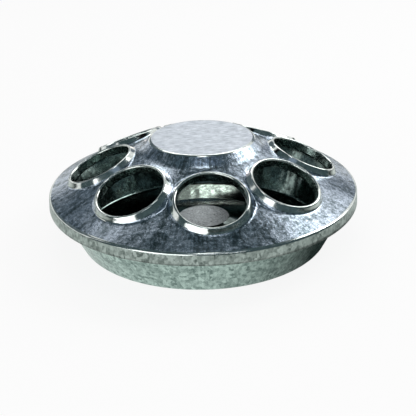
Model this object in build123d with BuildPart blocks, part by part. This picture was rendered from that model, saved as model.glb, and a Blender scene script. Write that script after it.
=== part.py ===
from build123d import *

import math
import os

# Round poultry feeder: a drawn sheet-steel lid with eight feeding holes, resting on a flared pan

# Driving dimensions, in millimetres and degrees
sheet = 0.5

# Lid: flat top disc, steep neck, shallow cone and a turned-down skirt
lid_radius = 82.5
skirt_height = 5.8
skirt_draft = 3.0
rim_corner_radius = 1.5
cone_slope = 24.0
neck_foot_radius = 32.5
neck_foot_blend = 9.0
neck_slope = 44.0
top_disc_radius = 27.4
top_edge_radius = 2.4

# Feeding holes: a leaning collar, a bead rounded in flats and a flange that turns down inside
hole_count = 8
hole_circle_radius = 53.6
hole_opening_radius = 17.1
bead_radius = 0.8
bead_centre_height = 1.8
bead_flats = 3
collar_lean = 35.0
collar_root_radius = 1.0
flange_depth = 4.0

# Pan: flat floor, flared wall and a rim curled in flats, which the lid rests on
curl_centre_height = 27.0
curl_radius = 1.1
curl_flats = 6
flats_to_seat = 2
wall_flare = 26.0
pan_corner_radius = 2.0
lid_side_clearance = 0.3
lid_seat_clearance = 0.05

# Raised centre of the pan floor, which pushes the feed outwards
boss_height = 9.0
boss_top_radius = 14.0
boss_foot_radius = 43.0
boss_edge_radius = 1.5
boss_foot_blend = 2.0


def sin(angle):
    return math.sin(math.radians(angle))


def cos(angle):
    return math.cos(math.radians(angle))


def tan(angle):
    return math.tan(math.radians(angle))


def rounded(centre, radius, start, turn, flats):
    """Corners of an edge that is rounded in equal flats, on a circle from one angle through a turn."""
    angles = [start + turn * n / flats for n in range(flats + 1)]
    return [centre + Vector(cos(angle), sin(angle)) * radius for angle in angles]


# Centre of the pan's rim curl, inside the top of the lid's skirt
rim_radius = lid_radius - skirt_height * tan(skirt_draft)
curl_centre_radius = rim_radius - sheet / cos(skirt_draft) - lid_side_clearance - curl_radius
curl_centre = Vector(curl_centre_radius, curl_centre_height)

# The lid's cone lies on the curl, and the heights above and below it follow
seat_height = curl_centre_height + (curl_radius + lid_seat_clearance + sheet) / cos(cone_slope)
rim_height = seat_height - (rim_radius - curl_centre_radius) * tan(cone_slope)
skirt_bottom = rim_height - skirt_height
neck_foot_height = rim_height + (rim_radius - neck_foot_radius) * tan(cone_slope)
lid_height = neck_foot_height + (neck_foot_radius - top_disc_radius) * tan(neck_slope)

# The first feeding hole's plane lies on the cone and faces out along the hole's axis
hole_foot_height = rim_height + (rim_radius - hole_circle_radius) * tan(cone_slope)
hole_plane = Plane(
    origin=(hole_circle_radius, 0, hole_foot_height),
    x_dir=(cos(cone_slope), 0, -sin(cone_slope)),
    z_dir=(sin(cone_slope), 0, cos(cone_slope)),
)

# The collar's leaning wall runs into the bead at this radius and height on the hole's axis
bead_centre = Vector(hole_opening_radius + bead_radius, bead_centre_height)
collar_top_radius = bead_centre.X + bead_radius * cos(collar_lean)
collar_top_height = bead_centre.Y + bead_radius * sin(collar_lean)

# How far the forms run on below what they shape, and where a collar's seam line is kept
collar_depth = 4.0
skirt_depth = 5.0
seam_turn = 60


def lid_form(inset, root_radius=0):
    """The solid under the lid's outer surface, drawn in all round by inset."""
    with BuildPart() as form:
        with BuildSketch(Plane.XZ):
            with BuildLine():
                dome = FilletPolyline(
                    (0, lid_height),
                    (top_disc_radius, lid_height),
                    (neck_foot_radius, neck_foot_height),
                    (rim_radius, rim_height),
                    (lid_radius + skirt_depth * tan(skirt_draft), skirt_bottom - skirt_depth),
                    radius=(top_edge_radius, neck_foot_blend, rim_corner_radius),
                )
                Polyline(dome @ 1, (0, skirt_bottom - skirt_depth), dome @ 0)
            make_face()
            mirror(about=Plane.YZ)
            if inset:
                offset(amount=-inset)
            split(bisect_by=Plane.YZ)
        revolve(axis=Axis.Z)
        top_height = collar_top_height + 2 * inset
        wall_radius = collar_top_radius - inset / cos(collar_lean)
        with PolarLocations(0, hole_count):
            with Locations(hole_plane.offset(-collar_depth)):
                Cone(
                    bottom_radius=wall_radius + (collar_top_height + collar_depth) * tan(collar_lean),
                    top_radius=wall_radius + (collar_top_height - top_height) * tan(collar_lean),
                    height=top_height + collar_depth,
                    rotation=(0, 0, seam_turn),
                    align=(Align.CENTER, Align.CENTER, Align.MIN),
                )
        if root_radius:
            roots = form.edges(Select.NEW).filter_by(
                lambda edge: edge.geom_type not in (GeomType.CIRCLE, GeomType.LINE)
            )
            fillet(roots, radius=root_radius)
    return form.part


# Bead and inner flange of one feeding hole, standing on its own axis
with BuildPart() as hole_rim:
    with BuildSketch(Plane.XZ):
        with BuildLine():
            Polyline(
                *rounded(bead_centre, bead_radius, collar_lean, 180 - collar_lean, bead_flats),
                (hole_opening_radius, bead_centre.Y - flange_depth),
                (hole_opening_radius + sheet, bead_centre.Y - flange_depth),
                *rounded(bead_centre, bead_radius - sheet, 180, collar_lean - 180, 1),
                close=True,
            )
        make_face()
    revolve(axis=Axis.Z)

with BuildPart() as feeder_lid:
    add(lid_form(0, collar_root_radius))
    add(lid_form(sheet), mode=Mode.SUBTRACT)
    split(bisect_by=Plane.XY.offset(skirt_bottom))
    with PolarLocations(0, hole_count):
        with Locations(hole_plane):
            add(hole_rim.part)
feeder_lid.part.label = "feeder_lid"

# The pan's inner surface rises along the flared wall and over the curl, with a corner at the seat
curl_start = 180 - wall_flare
curl_turn = (90 - cone_slope - curl_start) * curl_flats / flats_to_seat
curl_corners = rounded(curl_centre, curl_radius, curl_start, curl_turn, curl_flats)
pan_floor_radius = curl_corners[0].X - (curl_corners[0].Y - sheet) * tan(wall_flare)

with BuildPart() as feed_pan:
    with BuildSketch(Plane.XZ):
        with BuildLine():
            FilletPolyline(
                (0, boss_height),
                (boss_top_radius, boss_height),
                (boss_foot_radius, sheet),
                (pan_floor_radius, sheet),
                curl_corners[0],
                radius=(boss_edge_radius, boss_foot_blend, pan_corner_radius),
            )
            Polyline(*curl_corners)
            offset(amount=sheet, side=Side.RIGHT, kind=Kind.INTERSECTION)
        make_face()
    revolve(axis=Axis.Z)
feed_pan.part.label = "feed_pan"

os.makedirs("parts", exist_ok=True)
for piece in (feeder_lid, feed_pan):
    export_step(piece.part, f"parts/{piece.part.label}.step")
    box = piece.part.bounding_box()
    print(piece.part.label, "volume", round(piece.part.volume, 1), "from", box.min, "to", box.max)
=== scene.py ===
"""Round poultry feeder in galvanised sheet: a lid with eight feeding holes, resting on a flared pan."""

import math

import bmesh
import bpy
from mathutils import Matrix, Vector, noise


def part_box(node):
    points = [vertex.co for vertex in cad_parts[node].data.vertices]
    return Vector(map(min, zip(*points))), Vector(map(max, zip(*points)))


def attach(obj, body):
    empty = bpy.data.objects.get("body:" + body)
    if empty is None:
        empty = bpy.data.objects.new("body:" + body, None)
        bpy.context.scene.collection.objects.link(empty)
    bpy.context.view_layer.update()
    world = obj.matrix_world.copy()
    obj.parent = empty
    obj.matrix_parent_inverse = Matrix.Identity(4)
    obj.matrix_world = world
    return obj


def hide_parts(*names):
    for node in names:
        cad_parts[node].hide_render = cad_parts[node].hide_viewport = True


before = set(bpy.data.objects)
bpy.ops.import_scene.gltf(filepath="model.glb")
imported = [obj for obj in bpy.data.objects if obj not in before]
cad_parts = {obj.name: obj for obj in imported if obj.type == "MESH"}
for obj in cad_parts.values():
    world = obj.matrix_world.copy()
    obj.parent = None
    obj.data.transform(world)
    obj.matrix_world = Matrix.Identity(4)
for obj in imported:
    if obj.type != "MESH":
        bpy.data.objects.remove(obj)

bl_info = {
    "name": "Round Poultry Feeder",
    "version": (1, 0, 0),
    "blender": (4, 5, 0),
    "location": "View3D > Sidebar > Feeder",
    "description": "Makes the galvanised lid and pan of a round poultry feeder, and the studio around them",
    "category": "Add Mesh",
}

mm = 0.001
half_turn = math.pi
full_turn = 2 * math.pi

lid_low, lid_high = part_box("feeder_lid")


def length(name, description, default):
    """A size in metres, shown in the scene's own unit."""
    return bpy.props.FloatProperty(
        name=name, description=description, default=default, unit="LENGTH", precision=5
    )


def angle(name, description, degrees):
    """An angle, given in degrees."""
    return bpy.props.FloatProperty(
        name=name, description=description, default=math.radians(degrees), subtype="ANGLE"
    )


def colour(name, description, default):
    """A linear colour."""
    return bpy.props.FloatVectorProperty(
        name=name, description=description, default=default, subtype="COLOR", size=3, min=0, max=1
    )


class LidSizes(bpy.types.PropertyGroup):
    """Sizes of the drawn lid."""

    sheet: length("Sheet", "Thickness of the sheet", 0.5 * mm)
    outer_radius: length("Outer radius", "Radius of the lid at the bottom of its skirt", lid_high.x)
    skirt_height: length("Skirt height", "Height of the turned-down skirt", 5.8 * mm)
    skirt_draft: angle("Skirt draft", "How far the skirt leans outwards", 3)
    rim_corner: length("Rim corner", "Radius of the corner between cone and skirt", 1.5 * mm)
    cone_slope: angle("Cone slope", "Slope of the shallow cone", 24)
    neck_foot_radius: length("Neck foot radius", "Where the steep neck meets the cone", 32.5 * mm)
    neck_foot_blend: length("Neck foot blend", "Radius of the blend between neck and cone", 9 * mm)
    neck_slope: angle("Neck slope", "Slope of the neck", 44)
    disc_radius: length("Disc radius", "Radius of the flat top disc", 27.4 * mm)
    disc_edge: length("Disc edge", "Radius of the edge round the top disc", 2.4 * mm)
    hole_count: bpy.props.IntProperty(name="Holes", description="Number of feeding holes", default=8)
    hole_circle: length("Hole circle", "Radius of the circle that the holes stand on", 53.6 * mm)
    hole_radius: length("Hole radius", "Radius of the opening in each collar", 17.1 * mm)
    bead_radius: length("Bead radius", "Radius of the rounded crest of each collar", 0.8 * mm)
    bead_height: length("Bead height", "Height of the bead's centre above the cone", 1.8 * mm)
    collar_lean: angle("Collar lean", "How far the collar's wall leans outwards", 35)
    collar_blend: length("Collar blend", "Softness of the corner where a collar leaves the cone", 0.25 * mm)
    flange_depth: length("Flange depth", "How far the flange runs down from the bead's centre", 4 * mm)


class PanSizes(bpy.types.PropertyGroup):
    """Sizes of the drawn pan."""

    sheet: length("Sheet", "Thickness of the sheet", 0.5 * mm)
    floor_corner: length("Floor corner", "Radius of the corner between floor and wall", 2 * mm)
    wall_flare: angle("Wall flare", "How far the wall leans outwards", 26)
    curl_radius: length("Curl radius", "Outer radius of the curled rim", 1.1 * mm)
    curl_height: length("Curl height", "Height of the curl's centre", 27 * mm)
    curl_centre: length("Curl centre", "Radius at which the curl's centre runs", 80.295 * mm)
    curl_turn: angle("Curl turn", "How far the rim is rolled", 264)
    boss_height: length("Centre height", "Height of the raised centre", 9 * mm)
    boss_top: length("Centre top", "Radius of the flat top of the raised centre", 14 * mm)
    boss_foot: length("Centre foot", "Radius at the foot of the raised centre", 43 * mm)
    boss_edge: length("Centre edge", "Radius of the edge round the flat top", 1.5 * mm)
    boss_blend: length("Centre blend", "Radius of the blend at the foot", 2 * mm)
    wrinkle_depth: length("Wrinkle depth", "Depth of the draw wrinkles in the wall", 0.13 * mm)
    wrinkle_pitch: length("Wrinkle pitch", "Usual distance between draw wrinkles", 5 * mm)


class Finishes(bpy.types.PropertyGroup):
    """Colours of the zinc on each part of the sheet."""

    cone_light: colour("Cone, light", "Bright zinc on the cone and neck", (0.58, 0.66, 0.76))
    cone_dark: colour("Cone, dark", "Dark zinc on the cone and neck", (0.10, 0.145, 0.16))
    disc_light: colour("Disc, light", "Bright grain of the top disc", (0.70, 0.74, 0.79))
    disc_dark: colour("Disc, dark", "Dark grain of the top disc", (0.36, 0.40, 0.445))
    collar_light: colour("Collar, light", "Bright zinc on the collars", (0.78, 0.82, 0.80))
    collar_dark: colour("Collar, dark", "Dark zinc on the collars", (0.50, 0.56, 0.53))
    skirt_light: colour("Skirt, light", "Bright spangle of the skirt", (0.54, 0.61, 0.58))
    skirt_dark: colour("Skirt, dark", "Dark spangle of the skirt", (0.13, 0.16, 0.15))
    pan_light: colour("Pan, light", "Bright spangle of the pan", (0.56, 0.70, 0.65))
    pan_dark: colour("Pan, dark", "Dark spangle of the pan", (0.14, 0.205, 0.19))
    # Painted shade: the zinc inside the feeder and on the pan's floor is the same sheet as outside, drawn
    # darker because the lid shades it, the floor darkest.
    painted_shade_inside_light: colour("Inside, light", "Bright zinc inside the feeder", (0.38, 0.49, 0.46))
    painted_shade_inside_dark: colour("Inside, dark", "Dark zinc inside the feeder", (0.09, 0.125, 0.115))
    painted_shade_floor_light: colour("Floor, light", "Bright zinc of the pan's floor", (0.18, 0.22, 0.21))
    painted_shade_floor_dark: colour("Floor, dark", "Dark zinc of the pan's floor", (0.06, 0.08, 0.075))
    centre_light: colour("Centre, light", "Bright specks on the raised centre", (0.56, 0.60, 0.62))
    centre_dark: colour("Centre, dark", "Dark specks on the raised centre", (0.13, 0.15, 0.155))


class StageSizes(bpy.types.PropertyGroup):
    """Where the camera stands and how it looks."""

    camera_turn: angle("Camera turn", "How far the camera stands round from the front", -4.33)
    camera_rise: angle("Camera rise", "How high the camera looks down from", 24.58)
    camera_roll: angle("Camera roll", "How far the camera is tipped to one side", -1.314)
    camera_distance: length("Camera distance", "From the camera to the point it looks at", 474.4 * mm)
    camera_aside: length("Camera aside", "How far the view is moved to the right", 2.42 * mm)
    look_height: length("Look height", "Height of the point that the camera looks at", 13.56 * mm)
    lens: bpy.props.FloatProperty(name="Lens", description="Focal length in millimetres", default=75.03)


# Profiles, as points of radius and height


def turned(direction, radius):
    return Vector((math.cos(direction), math.sin(direction))) * radius


def arc(centre, radius, start, turn, steps):
    """Points along an arc, with both its ends."""
    return [centre + turned(start + turn * n / steps, radius) for n in range(steps + 1)]


def rounded_outline(corners, radii, steps):
    """The corners as one line, with each corner between the ends rounded in that many steps."""
    outline = [corners[0]]
    for before, corner, after, radius, count in zip(corners, corners[1:], corners[2:], radii, steps):
        way_in = (corner - before).normalized()
        way_out = (after - corner).normalized()
        turn = math.atan2(way_in.cross(way_out), way_in.dot(way_out))
        side = math.copysign(radius, turn)
        first = corner - way_in * radius * math.tan(abs(turn) / 2)
        centre = first + Vector((-way_in.y, way_in.x)) * side
        start = math.atan2(first.y - centre.y, first.x - centre.x)
        outline += arc(centre, radius, start, turn, count)
    return outline + [corners[-1]]


def divided(outline, longest):
    """The same line, with points added where two are further apart than the longest step."""
    line = [outline[0]]
    for before, after in zip(outline, outline[1:]):
        count = max(1, math.ceil((after - before).length / longest))
        line += [before.lerp(after, n / count) for n in range(1, count + 1)]
    return line


def add_line(mesh, points):
    """Joins points by edges, and returns the vertices and edges."""
    vertices = [mesh.verts.new(point) for point in points]
    edges = [mesh.edges.new(pair) for pair in zip(vertices, vertices[1:])]
    return vertices + edges


def grow(mesh, edges, place):
    """Extrudes a loop of edges, moves each new vertex to its place and returns the new loop."""
    made = bmesh.ops.extrude_edge_only(mesh, edges=edges)["geom"]
    fresh = {item for item in made if isinstance(item, bmesh.types.BMVert)}
    for vertex in fresh:
        vertex.co = place(vertex.co)
    return [item for item in made if isinstance(item, bmesh.types.BMEdge) and fresh.issuperset(item.verts)]


def open_edges(mesh, wanted):
    """Edges along an opening whose ends are both wanted."""
    return [edge for edge in mesh.edges if edge.is_boundary and all(wanted(end.co) for end in edge.verts)]


def flat_radius(point):
    return math.hypot(point.x, point.y)


def finished(name, mesh, sheet, materials, inner_materials=0):
    """Makes the object of a shell whose shown face is modelled, and gives the shell its thickness.

    The other face takes the material that many places further down the list, or the last one."""
    data = bpy.data.meshes.new(name)
    mesh.to_mesh(data)
    mesh.free()
    for material in materials:
        data.materials.append(material)
    piece = bpy.data.objects.new(name, data)
    bpy.context.scene.collection.objects.link(piece)
    wall = piece.modifiers.new("Sheet", "SOLIDIFY")
    wall.thickness = sheet
    wall.offset = -1
    wall.use_even_offset = True
    wall.material_offset = inner_materials
    wall.material_offset_rim = inner_materials
    return piece


# The lid's outer face


class LidForm:
    """Where the lid's outer face lies: a cone with leaning collars, blended where they meet."""

    def __init__(self, sizes):
        self.share = half_turn / sizes.hole_count
        self.slope = sizes.cone_slope
        self.lean = sizes.collar_lean
        self.blend = sizes.collar_blend
        self.rim = Vector((
            sizes.outer_radius - sizes.skirt_height * math.tan(sizes.skirt_draft),
            lid_low.z + sizes.skirt_height,
        ))
        neck_foot = self.on_cone(sizes.neck_foot_radius)
        lid_height = neck_foot.y + (sizes.neck_foot_radius - sizes.disc_radius) * math.tan(sizes.neck_slope)
        corners = [
            Vector((0, lid_height)),
            Vector((sizes.disc_radius, lid_height)),
            neck_foot,
            self.rim,
            Vector((sizes.outer_radius, lid_low.z)),
        ]
        radii = (sizes.disc_edge, sizes.neck_foot_blend, sizes.rim_corner)
        self.outline = divided(rounded_outline(corners, radii, (12, 10, 9)), 2 * mm)

        # The cone between these radii is covered by a net round each hole
        self.net_inside = sizes.neck_foot_radius + 1.7 * mm
        self.net_outside = self.rim.x - 1.2 * mm

        # The hole's frame: X down the slope, Z out along the hole's axis
        centre = self.on_cone(sizes.hole_circle)
        place = Matrix.Translation((centre.x, 0, centre.y)) @ Matrix.Rotation(self.slope, 4, "Y")
        self.hole = place
        step = 2 * self.share
        self.collars = [(Matrix.Rotation(step * n, 4, "Z") @ place).inverted() for n in (-1, 0, 1)]

        # The leaning wall runs into the bead at its top
        self.bead_centre = Vector((sizes.hole_radius + sizes.bead_radius, sizes.bead_height))
        self.wall_top = self.bead_centre + turned(self.lean, sizes.bead_radius)

    def on_cone(self, radius):
        """The point of the cone at a radius."""
        return Vector((radius, self.rim.y + (self.rim.x - radius) * math.tan(self.slope)))

    def collar_gap(self, collar, point):
        """How far a point lies outside a collar's leaning wall."""
        local = collar @ point
        return (flat_radius(local) - self.wall_top.x) * math.cos(self.lean) + (
            local.z - self.wall_top.y
        ) * math.sin(self.lean)

    def gap(self, point):
        """How far a point lies outside the cone and the collars, blended together."""
        cone = (flat_radius(point) - self.rim.x) * math.sin(self.slope) + (
            point.z - self.rim.y
        ) * math.cos(self.slope)
        gaps = [cone] + [self.collar_gap(collar, point) for collar in self.collars]
        least = min(gaps)
        return least - self.blend * math.log(sum(math.exp((least - g) / self.blend) for g in gaps))

    def on_face(self, radius, spoke):
        """The point of the outer face above a place in the hole's plane."""
        point = Vector((radius * math.cos(spoke), radius * math.sin(spoke), 0))
        for _ in range(24):
            point.z -= self.gap(self.hole @ point)
        return self.hole @ point

    def corner_spoke(self, radius):
        """Direction from the hole's centre to a corner of its share of the cone."""
        spot = self.on_cone(radius)
        corner = Vector((spot.x * math.cos(self.share), spot.x * math.sin(self.share), spot.y))
        local = self.hole.inverted() @ corner
        return math.atan2(local.y, local.x)

    def in_share(self, point):
        """Whether a point lies in this hole's share of the cone."""
        radius = flat_radius(point)
        aside = abs(math.atan2(point.y, point.x))
        return self.net_inside < radius < self.net_outside and aside < self.share

    def reach(self, spoke):
        """How far a spoke runs before it leaves this hole's share of the cone."""
        near, far = self.wall_top.x, 48 * mm
        for _ in range(30):
            middle = (near + far) / 2
            if self.in_share(self.on_face(middle, spoke)):
                near = middle
            else:
                far = middle
        return near

    def tail(self, point):
        """How much the blend at the foot of the collars still lifts a point of the neck."""
        turn = round(math.atan2(point.y, point.x) / (2 * self.share)) * 2 * self.share
        local = Matrix.Rotation(-turn, 4, "Z") @ point
        return self.blend * math.log(
            1 + sum(math.exp(-self.collar_gap(collar, local) / self.blend) for collar in self.collars)
        )


def spoke_key(spoke):
    """A spoke's direction, the same on both sides of the hole."""
    return round(abs(math.degrees(spoke)), 2)


def add_hole_net(mesh, form, sizes):
    """One collar with its bead and flange, and its share of the cone round it."""
    outer_count, side_count, inner_count = 16, 26, 10
    spoke_count = 2 * (outer_count + side_count + inner_count)
    outer_corner = form.corner_spoke(form.net_outside)
    inner_corner = form.corner_spoke(form.net_inside)
    spokes = [outer_corner * n / outer_count for n in range(outer_count)]
    spokes += [outer_corner + (inner_corner - outer_corner) * n / side_count for n in range(side_count)]
    spokes += [inner_corner + (half_turn - inner_corner) * n / inner_count for n in range(inner_count)]
    spokes += [half_turn] + [full_turn - spoke for spoke in reversed(spokes[1:])]

    # Flange, bead and the top of the leaning wall, spun about the hole's axis
    flange = Vector((sizes.hole_radius, sizes.bead_height - sizes.flange_depth))
    bead = arc(form.bead_centre, sizes.bead_radius, half_turn, form.lean - half_turn, 11)
    profile = divided([flange, bead[0]], 0.9 * mm) + bead[1:]
    line = add_line(mesh, [form.hole @ Vector((point.x, 0, point.y)) for point in profile])
    axis = form.hole.to_3x3() @ Vector((0, 0, 1))
    bmesh.ops.spin(
        mesh,
        geom=line,
        cent=form.hole.translation,
        axis=axis,
        angle=full_turn,
        steps=spoke_count,
        use_merge=True,
    )

    # The spokes are turned so that some of them meet the corners of the hole's share
    to_hole = form.hole.inverted()
    for vertex in mesh.verts:
        local = to_hole @ vertex.co
        number = round(math.atan2(local.y, local.x) / full_turn * spoke_count) % spoke_count
        spoke = spokes[number]
        radius = flat_radius(local)
        vertex.co = form.hole @ Vector((radius * math.cos(spoke), radius * math.sin(spoke), local.z))

    # Rows outwards: close together over the wall and its foot, then wider
    close_rows, wide_rows = 17, 9
    reaches = {spoke_key(spoke): form.reach(spoke) for spoke in spokes[: spoke_count // 2 + 1]}
    loop = open_edges(mesh, lambda co: (to_hole @ co).z > form.bead_centre.y)
    for row in range(1, close_rows + wide_rows + 1):

        def place(co):
            local = to_hole @ co
            spoke = math.atan2(local.y, local.x)
            start, end = form.wall_top.x, reaches[spoke_key(spoke)]
            close = min(3.4 * mm, 0.72 * (end - start))
            if row <= close_rows:
                radius = start + close * row / close_rows
            else:
                radius = start + close + (end - start - close) * ((row - close_rows) / wide_rows) ** 1.25
            return form.on_face(radius, spoke)

        loop = grow(mesh, loop, place)


def make_lid_mesh(sizes):
    """The lid's outer face, as one open shell."""
    form = LidForm(sizes)
    mesh = bmesh.new()
    add_hole_net(mesh, form, sizes)
    bmesh.ops.spin(
        mesh,
        geom=mesh.verts[:] + mesh.edges[:] + mesh.faces[:],
        cent=(0, 0, 0),
        axis=(0, 0, 1),
        angle=full_turn - 2 * form.share,
        steps=sizes.hole_count - 1,
        use_duplicate=True,
    )
    bmesh.ops.remove_doubles(mesh, verts=mesh.verts[:], dist=0.004 * mm)

    def row_to(spot):
        def place(co):
            scale = spot.x / flat_radius(co)
            point = Vector((co.x * scale, co.y * scale, spot.y))
            point.z += form.tail(point)
            return point

        return place

    # Neck and top disc, inwards from the net, and a pole at the centre of the disc
    loop = open_edges(mesh, lambda co: flat_radius(co) < form.net_inside + 0.05 * mm)
    for spot in reversed([spot for spot in form.outline if 0 < spot.x < form.net_inside]):
        loop = grow(mesh, loop, row_to(spot))
    middle = {end for edge in loop for end in edge.verts}
    bmesh.ops.contextual_create(mesh, geom=loop)
    bmesh.ops.poke(mesh, faces=[face for face in mesh.faces if middle.issuperset(face.verts)])

    # Rim corner and skirt, outwards from the net
    loop = open_edges(mesh, lambda co: flat_radius(co) > form.net_outside - 0.05 * mm)
    for spot in form.outline:
        if spot.x > form.net_outside:
            loop = grow(mesh, loop, row_to(spot))

    bmesh.ops.recalc_face_normals(mesh, faces=mesh.faces[:])
    paint_lid(mesh, form, sizes)
    return mesh


def paint_lid(mesh, form, sizes):
    """Gives each face the number of its material: cone, disc, burnished edge, skirt, or inside zinc
    darkened by painted shade.
    """
    step = 2 * form.share
    to_hole = form.hole.inverted()
    for face in mesh.faces:
        face.smooth = True
        centre = face.calc_center_median()
        radius = flat_radius(centre)
        turn = round(math.atan2(centre.y, centre.x) / step) * step
        local = to_hole @ (Matrix.Rotation(-turn, 4, "Z") @ centre)
        if radius < sizes.disc_radius - 0.7 * mm:
            face.material_index = 1
        elif radius < sizes.disc_radius + 1.1 * mm:
            face.material_index = 2
        elif radius > form.net_outside:
            face.material_index = 2 if centre.z > form.rim.y - 0.6 * mm else 3
        # The flange inside the hole takes the inside zinc, darkened by painted shade.
        elif flat_radius(local) < form.bead_centre.x and local.z < form.bead_centre.y:
            face.material_index = 4
        elif flat_radius(local) < form.wall_top.x + 1.5 * mm:
            face.material_index = 2


# The pan's inner face


def pan_curl(sizes):
    """The curled rim, from the top of the wall to its end."""
    centre = Vector((sizes.curl_centre, sizes.curl_height))
    return arc(centre, sizes.curl_radius, half_turn - sizes.wall_flare, -sizes.curl_turn, 18)


def floor_edge(sizes):
    """Radius at which the lines of floor and wall meet."""
    top = pan_curl(sizes)[0]
    return top.x - (top.y - sizes.sheet) * math.tan(sizes.wall_flare)


def pan_outline(sizes):
    """From the middle of the raised centre over the floor and up the wall to the end of the curl."""
    curl = pan_curl(sizes)
    corners = [
        Vector((0, sizes.boss_height)),
        Vector((sizes.boss_top, sizes.boss_height)),
        Vector((sizes.boss_foot, sizes.sheet)),
        Vector((floor_edge(sizes), sizes.sheet)),
        curl[0],
    ]
    radii = (sizes.boss_edge, sizes.boss_blend, sizes.floor_corner)
    return divided(rounded_outline(corners, radii, (5, 4, 7)), 2.4 * mm) + curl[1:]


def wrinkle(sizes, point):
    """How far the drawn wall stands in or out at a point, fading towards floor and curl."""
    low, high = 2 * mm, sizes.curl_height - 2 * mm
    if not low < point.z < high:
        return 0
    fade = math.sin(half_turn * (point.z - low) / (high - low)) ** 1.5
    around = point.xy.normalized() * sizes.curl_centre / sizes.wrinkle_pitch
    wave = noise.noise(Vector((around.x, around.y, point.z / (16 * mm))))
    return sizes.wrinkle_depth * fade * wave * 1.8


def make_pan_mesh(sizes):
    """The pan's inner face, as one open shell."""
    mesh = bmesh.new()
    outline = pan_outline(sizes)
    line = add_line(mesh, [Vector((spot.x, 0, spot.y)) for spot in outline])
    axis, middle = (0, 0, 1), (0, 0, 0)
    bmesh.ops.spin(mesh, geom=line, cent=middle, axis=axis, angle=full_turn, steps=420, use_merge=True)
    bmesh.ops.remove_doubles(mesh, verts=mesh.verts[:], dist=0.004 * mm)
    bmesh.ops.recalc_face_normals(mesh, faces=mesh.faces[:])
    for vertex in mesh.verts:
        if flat_radius(vertex.co) > sizes.boss_foot:
            shift = wrinkle(sizes, vertex.co)
            outward = vertex.co.xy.normalized() * math.cos(sizes.wall_flare)
            vertex.co += Vector((outward.x, outward.y, -math.sin(sizes.wall_flare))) * shift
    paint_pan(mesh, sizes)
    return mesh


def paint_pan(mesh, sizes):
    """Gives each face the number of its material: wall, raised centre or floor; the inner wall and the
    floor take zinc darkened by painted shade.
    """
    floor_end = floor_edge(sizes) - sizes.floor_corner / 2
    for face in mesh.faces:
        face.smooth = True
        radius = flat_radius(face.calc_center_median())
        if radius < sizes.boss_top - 0.5 * mm:
            face.material_index = 1
        elif radius < floor_end:
            face.material_index = 2


# Finishes


class Finish:
    """A metal finish under construction: its nodes, and short ways to add and join them."""

    def __init__(self, name):
        self.material = bpy.data.materials.new(name)
        self.material.use_nodes = True
        self.tree = self.material.node_tree
        self.shader = self.tree.nodes["Principled BSDF"]
        self.shader.inputs["Metallic"].default_value = 1
        self.place = self.add("ShaderNodeTexCoord").outputs["Object"]

    def add(self, kind, inputs=None, **settings):
        """Adds a node, with settings on the node and values or links on its inputs."""
        node = self.tree.nodes.new(kind)
        for name, value in settings.items():
            setattr(node, name, value)
        for name, value in (inputs or {}).items():
            if isinstance(value, bpy.types.NodeSocket):
                self.tree.links.new(value, node.inputs[name])
            else:
                node.inputs[name].default_value = value
        return node

    def sized(self, scale):
        """Coordinates in which one unit is that many metres, on each axis."""
        scales = [1 / size for size in scale]
        return self.add("ShaderNodeMapping", {0: self.place, "Scale": scales}).outputs[0]

    def round_the_axis(self, frequency, radial_size):
        """Coordinates that run round the feeder at one frequency and outwards at a size."""
        flat = self.vectors("MULTIPLY", self.place, (1, 1, 0)).outputs[0]
        radius = self.vectors("LENGTH", flat).outputs["Value"]
        unit = self.vectors("NORMALIZE", flat).outputs[0]
        parts = self.add("ShaderNodeSeparateXYZ", {0: unit}).outputs
        first, second = (self.maths("MULTIPLY", parts[number], frequency) for number in (0, 1))
        outward = self.maths("DIVIDE", radius, radial_size)
        return self.add("ShaderNodeCombineXYZ", {0: first, 1: second, 2: outward}).outputs[0]

    def vectors(self, operation, first, second=(0, 0, 0)):
        return self.add("ShaderNodeVectorMath", {0: first, 1: second}, operation=operation)

    def maths(self, operation, first, second):
        return self.add("ShaderNodeMath", {0: first, 1: second}, operation=operation).outputs[0]

    def clouds(self, place, detail=3.0, roughness=0.55, distortion=0.0):
        """Soft patches about one unit across, from 0 to 1."""
        inputs = {"Vector": place, "Scale": 1.0, "Detail": detail}
        inputs.update({"Roughness": roughness, "Distortion": distortion})
        return self.add("ShaderNodeTexNoise", inputs).outputs["Fac"]

    def spangle(self, place):
        """One random shade for each crystal of zinc, about one unit across."""
        node = self.add("ShaderNodeTexVoronoi", {"Vector": place, "Scale": 1.0, "Randomness": 1.0})
        return self.add("ShaderNodeSeparateColor", {0: node.outputs["Color"]}).outputs[0]

    def spread(self, value, low, high, to_low=0.0, to_high=1.0):
        """Maps a range of a value to another, and holds it at the ends."""
        node = self.add(
            "ShaderNodeMapRange",
            {"Value": value, "From Min": low, "From Max": high, "To Min": to_low, "To Max": to_high},
        )
        return node.outputs[0]

    def blended(self, parts):
        """The weighted sum of several patterns."""
        total = None
        for value, weight in parts:
            term = self.maths("MULTIPLY", value, weight)
            total = term if total is None else self.maths("ADD", total, term)
        return total

    def colours(self, value, dark, light):
        node = self.add(
            "ShaderNodeMix", {0: value, 6: (*dark, 1), 7: (*light, 1)}, data_type="RGBA", clamp_factor=True
        )
        return node.outputs[2]

    def bump(self, value, distance, strength=1.0, under=None):
        inputs = {"Height": value, "Distance": distance, "Strength": strength}
        if under is not None:
            inputs["Normal"] = under
        return self.add("ShaderNodeBump", inputs).outputs[0]

    def glow(self, colour, strength):
        """Makes this a card's finish, which glows and reflects nothing."""
        light = self.add("ShaderNodeEmission", {"Color": colour, "Strength": strength})
        self.tree.links.new(light.outputs[0], self.tree.nodes["Material Output"].inputs["Surface"])
        self.tree.nodes.remove(self.shader)
        return self.material

    def join(self, colour=None, roughness=None, normal=None):
        for name, socket in (("Base Color", colour), ("Roughness", roughness), ("Normal", normal)):
            if socket is not None:
                self.tree.links.new(socket, self.shader.inputs[name])
        return self.material


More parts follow.
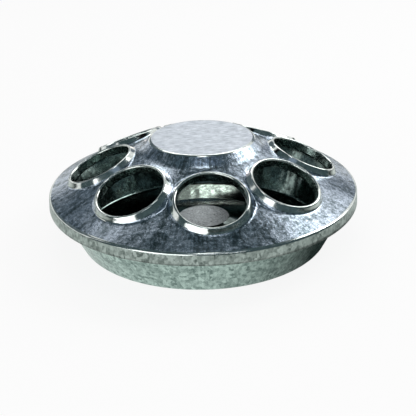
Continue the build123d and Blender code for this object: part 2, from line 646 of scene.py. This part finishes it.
def cone_finish(colours):
    """Glossy galvanised sheet, mottled, with draw streaks that run down the cone."""
    finish = Finish("lid_cone_zinc")
    mottle = finish.clouds(finish.sized((9 * mm, 9 * mm, 9 * mm)), 6, 0.62, 0.6)
    grain = finish.clouds(finish.sized((1.7 * mm, 1.7 * mm, 1.7 * mm)), 3, 0.75)
    crystals = finish.spangle(finish.sized((2.2 * mm, 2.2 * mm, 2.2 * mm)))
    streaks = finish.clouds(finish.round_the_axis(24, 45 * mm), 5, 0.65, 0.3)
    shade = finish.blended([(mottle, 0.6), (grain, 1.0), (crystals, 0.15), (streaks, 0.8)])
    shade = finish.spread(shade, 1.05, 1.42)
    roughness = finish.spread(finish.blended([(mottle, 0.6), (grain, 0.4)]), 0.35, 0.65, 0.15, 0.30)
    waves = finish.bump(finish.blended([(streaks, 0.35), (mottle, 1.0)]), 0.45 * mm, 0.5)
    pits = finish.bump(grain, 0.08 * mm, 0.6, waves)
    return finish.join(finish.colours(shade, colours.cone_dark, colours.cone_light), roughness, pits)


def disc_finish(colours):
    """Even light grey with a fine grain across."""
    finish = Finish("lid_disc_zinc")
    grain = finish.clouds(finish.sized((5 * mm, 0.8 * mm, 5 * mm)), 4, 0.7)
    mottle = finish.clouds(finish.sized((5 * mm, 5 * mm, 5 * mm)), 5, 0.6)
    shade = finish.spread(finish.blended([(grain, 0.75), (mottle, 0.25)]), 0.41, 0.59)
    roughness = finish.spread(grain, 0.3, 0.7, 0.42, 0.54)
    normal = finish.bump(grain, 0.02 * mm, 0.5)
    return finish.join(finish.colours(shade, colours.disc_dark, colours.disc_light), roughness, normal)


def collar_finish(colours):
    """Sheet burnished nearly to a mirror by the drawing tool."""
    finish = Finish("lid_collar_zinc")
    mottle = finish.clouds(finish.sized((3 * mm, 3 * mm, 3 * mm)), 5, 0.6)
    grain = finish.clouds(finish.sized((0.7 * mm, 0.7 * mm, 0.7 * mm)), 3, 0.6)
    shade = finish.spread(finish.blended([(mottle, 0.7), (grain, 0.3)]), 0.35, 0.62)
    roughness = finish.spread(mottle, 0.35, 0.65, 0.08, 0.17)
    normal = finish.bump(mottle, 0.02 * mm, 0.5)
    return finish.join(finish.colours(shade, colours.collar_dark, colours.collar_light), roughness, normal)


def upright_finish(name, dark, light, roughness_low, roughness_high, dents):
    """Spangled sheet of the skirt, the pan and the insides, with faint upright streaks."""
    finish = Finish(name)
    crystals = finish.spangle(finish.sized((1.5 * mm, 1.5 * mm, 1.9 * mm)))
    grain = finish.clouds(finish.sized((1.6 * mm, 1.6 * mm, 1.9 * mm)), 4, 0.75, 0.8)
    mottle = finish.clouds(finish.sized((8 * mm, 8 * mm, 8 * mm)), 4, 0.6)
    streaks = finish.clouds(finish.round_the_axis(60, 60 * mm), 4, 0.6)
    shade = finish.blended([(crystals, 0.32), (grain, 0.7), (mottle, 0.3), (streaks, 0.25)])
    shade = finish.spread(shade, 0.56, 1.0)
    roughness = finish.spread(grain, 0.3, 0.7, roughness_low, roughness_high)
    normal = finish.bump(finish.blended([(grain, 0.5), (streaks, 0.5)]), dents, 0.6)
    return finish.join(finish.colours(shade, dark, light), roughness, normal)


def centre_finish(colours):
    """Dull, speckled zinc on the flat top of the raised centre."""
    finish = Finish("pan_centre_zinc")
    grain = finish.clouds(finish.sized((0.8 * mm, 0.8 * mm, 0.8 * mm)), 3, 0.7, 0.4)
    mottle = finish.clouds(finish.sized((5 * mm, 5 * mm, 5 * mm)), 4, 0.6)
    shade = finish.spread(finish.blended([(grain, 0.8), (mottle, 0.2)]), 0.36, 0.6)
    normal = finish.bump(grain, 0.08 * mm, 0.8)
    roughness = finish.spread(grain, 0.3, 0.7, 0.26, 0.36)
    return finish.join(finish.colours(shade, colours.centre_dark, colours.centre_light), roughness, normal)


# Stage


def plain_glow(name, colour):
    """One even colour that glows."""
    return Finish(name).glow((*colour, 1), 1)


def table_glow():
    """A pale table top seen only in reflections, with painted light: a pool that ends in the dark, and a
    painted shadow at the feeder's right.
    """
    finish = Finish("table_glow")
    # Painted shadow of the feeder round a point at its right, times a painted pool of light that fades away
    # from the feeder.
    from_shade = finish.vectors("DISTANCE", finish.place, (0.055, -0.025, 0)).outputs["Value"]
    shade = finish.spread(from_shade, 0.018, 0.072)
    from_middle = finish.vectors("LENGTH", finish.place).outputs["Value"]
    near = finish.spread(from_middle, 0.42, 0.17)
    level = finish.maths("MULTIPLY", shade, near)
    return finish.glow(finish.colours(level, (0.02, 0.03, 0.028), (0.74, 0.78, 0.76)), 1)


def second_glow(name, strength):
    """A glow that shows only in reflections of reflections, as inside the feeder: a painted highlight in
    place of light that comes in through the holes.
    """
    finish = Finish(name)
    path = finish.add("ShaderNodeLightPath")
    second = finish.maths("GREATER_THAN", path.outputs["Ray Depth"], 1.5)
    finish.material.cycles.emission_sampling = "NONE"
    return finish.glow((1, 0.82, 0.8, 1), finish.maths("MULTIPLY", second, strength))


def seen_rays(tree):
    """1 for rays from the camera, and for the rays by which metal and glass show the background."""
    path = tree.nodes.new("ShaderNodeLightPath")
    total = path.outputs["Is Camera Ray"]
    for name in ("Is Glossy Ray", "Is Transmission Ray"):
        most = tree.nodes.new("ShaderNodeMath")
        most.operation = "MAXIMUM"
        tree.links.new(total, most.inputs[0])
        tree.links.new(path.outputs[name], most.inputs[1])
        total = most.outputs[0]
    return total


def card(name, width, height, centre, target, material):
    """A flat card that faces a point. It shows only in reflections and shades nothing."""
    mesh = bmesh.new()
    bmesh.ops.create_grid(mesh, x_segments=1, y_segments=1, size=0.5)
    bmesh.ops.scale(mesh, vec=(width, height, 1), verts=mesh.verts[:])
    facing = (Vector(target) - Vector(centre)).to_track_quat("Z", "Y").to_matrix().to_4x4()
    bmesh.ops.transform(mesh, matrix=Matrix.Translation(centre) @ facing, verts=mesh.verts[:])
    data = bpy.data.meshes.new(name)
    mesh.to_mesh(data)
    mesh.free()
    data.materials.append(material)
    thing = bpy.data.objects.new(name, data)
    bpy.context.scene.collection.objects.link(thing)
    thing.visible_camera = False
    thing.visible_diffuse = False
    thing.visible_transmission = False
    thing.visible_shadow = False
    return thing


def area_lamp(name, way, distance, size, radiance):
    """A soft lamp in a direction from the feeder, with a brightness where white paper reads 1."""
    data = bpy.data.lights.new(name, "AREA")
    data.shape = "RECTANGLE"
    data.size, data.size_y = size
    data.energy = radiance * half_turn * size[0] * size[1]
    lamp = bpy.data.objects.new(name, data)
    bpy.context.scene.collection.objects.link(lamp)
    way = Vector(way).normalized()
    lamp.location = Vector((0, 0, 30 * mm)) + way * distance
    lamp.rotation_mode = "QUATERNION"
    lamp.rotation_quaternion = way.to_track_quat("Z", "Y")
    lamp.visible_camera = False
    return lamp


def make_world():
    world = bpy.data.worlds.new("studio")
    bpy.context.scene.world = world
    world.use_nodes = True
    tree = world.node_tree
    tree.nodes.clear()
    fill = tree.nodes.new("ShaderNodeBackground")
    fill.inputs["Strength"].default_value = 0.55
    white = tree.nodes.new("ShaderNodeBackground")
    white.inputs["Strength"].default_value = 1
    for background in (fill, white):
        background.inputs["Color"].default_value = (1, 1, 1, 1)
    mix = tree.nodes.new("ShaderNodeMixShader")
    output = tree.nodes.new("ShaderNodeOutputWorld")
    tree.links.new(seen_rays(tree), mix.inputs[0])
    tree.links.new(fill.outputs[0], mix.inputs[1])
    tree.links.new(white.outputs[0], mix.inputs[2])
    tree.links.new(mix.outputs[0], output.inputs["Surface"])


def make_floor():
    material = bpy.data.materials.new("pale_floor")
    material.use_nodes = True
    tree = material.node_tree
    tree.nodes.clear()
    paper = tree.nodes.new("ShaderNodeBsdfDiffuse")
    paper.inputs["Color"].default_value = (0.8, 0.8, 0.8, 1)
    glow = tree.nodes.new("ShaderNodeEmission")
    glow.inputs["Color"].default_value = (1, 1, 1, 1)
    glow.inputs["Strength"].default_value = 1
    share = tree.nodes.new("ShaderNodeMath")
    share.operation = "MULTIPLY"
    share.inputs[1].default_value = 0.88
    mix = tree.nodes.new("ShaderNodeMixShader")
    output = tree.nodes.new("ShaderNodeOutputMaterial")
    tree.links.new(seen_rays(tree), share.inputs[0])
    tree.links.new(share.outputs[0], mix.inputs[0])
    tree.links.new(paper.outputs[0], mix.inputs[1])
    tree.links.new(glow.outputs[0], mix.inputs[2])
    tree.links.new(mix.outputs[0], output.inputs["Surface"])

    mesh = bmesh.new()
    bmesh.ops.create_circle(mesh, cap_ends=True, segments=64, radius=6)
    data = bpy.data.meshes.new("floor")
    mesh.to_mesh(data)
    mesh.free()
    data.materials.append(material)
    floor = bpy.data.objects.new("floor", data)
    bpy.context.scene.collection.objects.link(floor)


def make_camera(stage):
    turn, rise, roll = stage.camera_turn, stage.camera_rise, stage.camera_roll
    back = Vector((math.sin(turn) * math.cos(rise), -math.cos(turn) * math.cos(rise), math.sin(rise)))
    right = Vector((math.cos(turn), math.sin(turn), 0))
    up = back.cross(right)
    tipped_right = right * math.cos(roll) + up * math.sin(roll)
    tipped_up = up * math.cos(roll) - right * math.sin(roll)
    target = Vector((0, 0, stage.look_height)) + right * stage.camera_aside
    data = bpy.data.cameras.new("camera")
    data.lens = stage.lens
    data.sensor_width = 36
    data.clip_start, data.clip_end = 0.01, 50
    camera = bpy.data.objects.new("camera", data)
    bpy.context.scene.collection.objects.link(camera)
    turned_to = Matrix((tipped_right, tipped_up, back)).transposed().to_4x4()
    camera.matrix_world = Matrix.Translation(target + back * stage.camera_distance) @ turned_to
    bpy.context.scene.camera = camera


# Operators


class FEEDER_OT_lid(bpy.types.Operator):
    """Make the drawn lid with its ring of feeding holes"""

    bl_idname = "feeder.lid"
    bl_label = "Make Lid"

    def execute(self, context):
        sizes, colours = context.scene.feeder_lid, context.scene.feeder_finishes
        outside = (colours.skirt_dark, colours.skirt_light)
        skirt = upright_finish("lid_skirt_zinc", *outside, 0.26, 0.4, 0.08 * mm)
        # The lid's underside and the flanges inside the holes take the inside zinc, darkened by painted
        # shade.
        dark = (colours.painted_shade_inside_dark, colours.painted_shade_inside_light)
        inside = upright_finish("lid_inside_painted_shade_zinc", *dark, 0.2, 0.3, 0.03 * mm)
        materials = [cone_finish(colours), disc_finish(colours), collar_finish(colours), skirt, inside]
        lid = finished("galvanised_lid", make_lid_mesh(sizes), sizes.sheet, materials, 4)
        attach(lid, "root")
        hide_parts("feeder_lid")
        return {"FINISHED"}


class FEEDER_OT_pan(bpy.types.Operator):
    """Make the drawn pan with its curled rim and raised centre"""

    bl_idname = "feeder.pan"
    bl_label = "Make Pan"

    def execute(self, context):
        sizes, colours = context.scene.feeder_pan, context.scene.feeder_finishes
        # The pan's inner wall and floor are darkened by painted shade, the floor most.
        dark = (colours.painted_shade_inside_dark, colours.painted_shade_inside_light)
        wall = upright_finish("pan_inside_painted_shade_zinc", *dark, 0.1, 0.2, 0.03 * mm)
        darkest = (colours.painted_shade_floor_dark, colours.painted_shade_floor_light)
        floor = upright_finish("pan_floor_painted_shade_zinc", *darkest, 0.06, 0.12, 0.01 * mm)
        pale = (colours.pan_dark, colours.pan_light)
        outside = upright_finish("pan_zinc", *pale, 0.2, 0.34, 0.08 * mm)
        materials = [wall, centre_finish(colours), floor, outside]
        pan = finished("galvanised_pan", make_pan_mesh(sizes), sizes.sheet, materials, 3)
        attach(pan, "root")
        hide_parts("feed_pan")
        return {"FINISHED"}


class FEEDER_OT_stage(bpy.types.Operator):
    """Make the floor, the lights, the dark cards and the camera"""

    bl_idname = "feeder.stage"
    bl_label = "Make Stage"

    def execute(self, context):
        scene = context.scene
        scene.view_settings.view_transform = "Standard"
        make_world()
        make_floor()
        make_camera(scene.feeder_stage)
        dark = plain_glow("dark_glow", (0.06, 0.09, 0.10))
        dim = plain_glow("dim_glow", (0.12, 0.15, 0.17))
        dull = plain_glow("dull_glow", (0.22, 0.25, 0.29))
        blue = plain_glow("blue_glow", (0.24, 0.30, 0.39))
        painted_highlight, painted_band = second_glow("painted_highlight_glow", 36), second_glow("painted_band_glow", 4.5)
        card("ceiling_card", 2.6, 2.0, (0, -0.35, 1.3), (0, -0.35, 0), dark)
        card("front_card", 3.0, 1.4, (0, -1.35, 0.7), (0, 0, 0.7), dark)
        card("right_card", 1.7, 1.4, (1.4, -0.5, 0.7), (0, -0.5, 0.7), dark)
        card("left_card", 1.3, 1.4, (-1.4, -0.7, 0.7), (0, -0.7, 0.7), dark)
        card("back_left_card", 1.9, 0.75, (-0.8, 0.8, 0.68), (0, 0, 0), dim)
        card("back_right_card", 0.65, 0.37, (0.54, 1.11, 0.42), (0, 0, 0), dull)
        card("table_card", 2.4, 2.4, (0, -0.3, 0.1 * mm), (0, -0.3, 1), table_glow())
        card("neck_card", 0.5, 0.25, (0.05, -0.4, 0.95), (0, 0, 0), blue)
        # Painted highlights: these cards put the bright band and its two bright spots on the far wall
        # inside the feeder, in place of light through the back holes.
        card("left_painted_highlight_card", 0.008, 0.012, (0, 0.032, 0.15), (0, 0.032, 0), painted_highlight)
        card("right_painted_highlight_card", 0.008, 0.012, (-0.0135, 0.037, 0.15), (-0.0135, 0.037, 0), painted_highlight)
        card("painted_band_card", 0.056, 0.03, (-0.008, 0.036, 0.151), (-0.008, 0.036, 0), painted_band)
        area_lamp("right_window", (0.75, 0.26, 0.61), 0.95, (0.36, 0.6), 4.4)
        area_lamp("front_window", (-0.53, -0.8, 0.3), 1.05, (0.75, 0.6), 1.9)
        area_lamp("rim_strip", (0.08, -0.76, 0.64), 1.0, (0.55, 0.05), 4.0)
        area_lamp("low_window", (-0.6, -0.8, 0.01), 0.6, (0.58, 0.07), 2.6)
        area_lamp("back_window", (0.0, 0.67, 0.74), 1.1, (0.75, 0.4), 2.0)
        area_lamp("top_lamp", (0.0, -0.15, 0.99), 1.0, (0.16, 0.16), 5.0)
        return {"FINISHED"}


class FEEDER_PT_panel(bpy.types.Panel):
    """Lists the feeder's pieces and their sizes"""

    bl_label = "Round Poultry Feeder"
    bl_idname = "FEEDER_PT_panel"
    bl_space_type = "VIEW_3D"
    bl_region_type = "UI"
    bl_category = "Feeder"

    def draw(self, context):
        groups = (
            (FEEDER_OT_lid, context.scene.feeder_lid),
            (FEEDER_OT_pan, context.scene.feeder_pan),
            (FEEDER_OT_stage, context.scene.feeder_stage),
        )
        for operator, sizes in groups:
            box = self.layout.box()
            box.operator(operator.bl_idname)
            for name in sizes.__annotations__:
                box.prop(sizes, name)
        box = self.layout.box()
        for name in Finishes.__annotations__:
            box.prop(context.scene.feeder_finishes, name)


groups = {
    "feeder_lid": LidSizes,
    "feeder_pan": PanSizes,
    "feeder_finishes": Finishes,
    "feeder_stage": StageSizes,
}
classes = (*groups.values(), FEEDER_OT_lid, FEEDER_OT_pan, FEEDER_OT_stage, FEEDER_PT_panel)


def register():
    for each in classes:
        bpy.utils.register_class(each)
    for name, group in groups.items():
        setattr(bpy.types.Scene, name, bpy.props.PointerProperty(type=group))


def unregister():
    for name in groups:
        delattr(bpy.types.Scene, name)
    for each in reversed(classes):
        bpy.utils.unregister_class(each)


def main():
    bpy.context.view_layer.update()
    register()
    bpy.ops.feeder.lid()
    bpy.ops.feeder.pan()
    bpy.ops.feeder.stage()


if __name__ == "__main__":
    main()
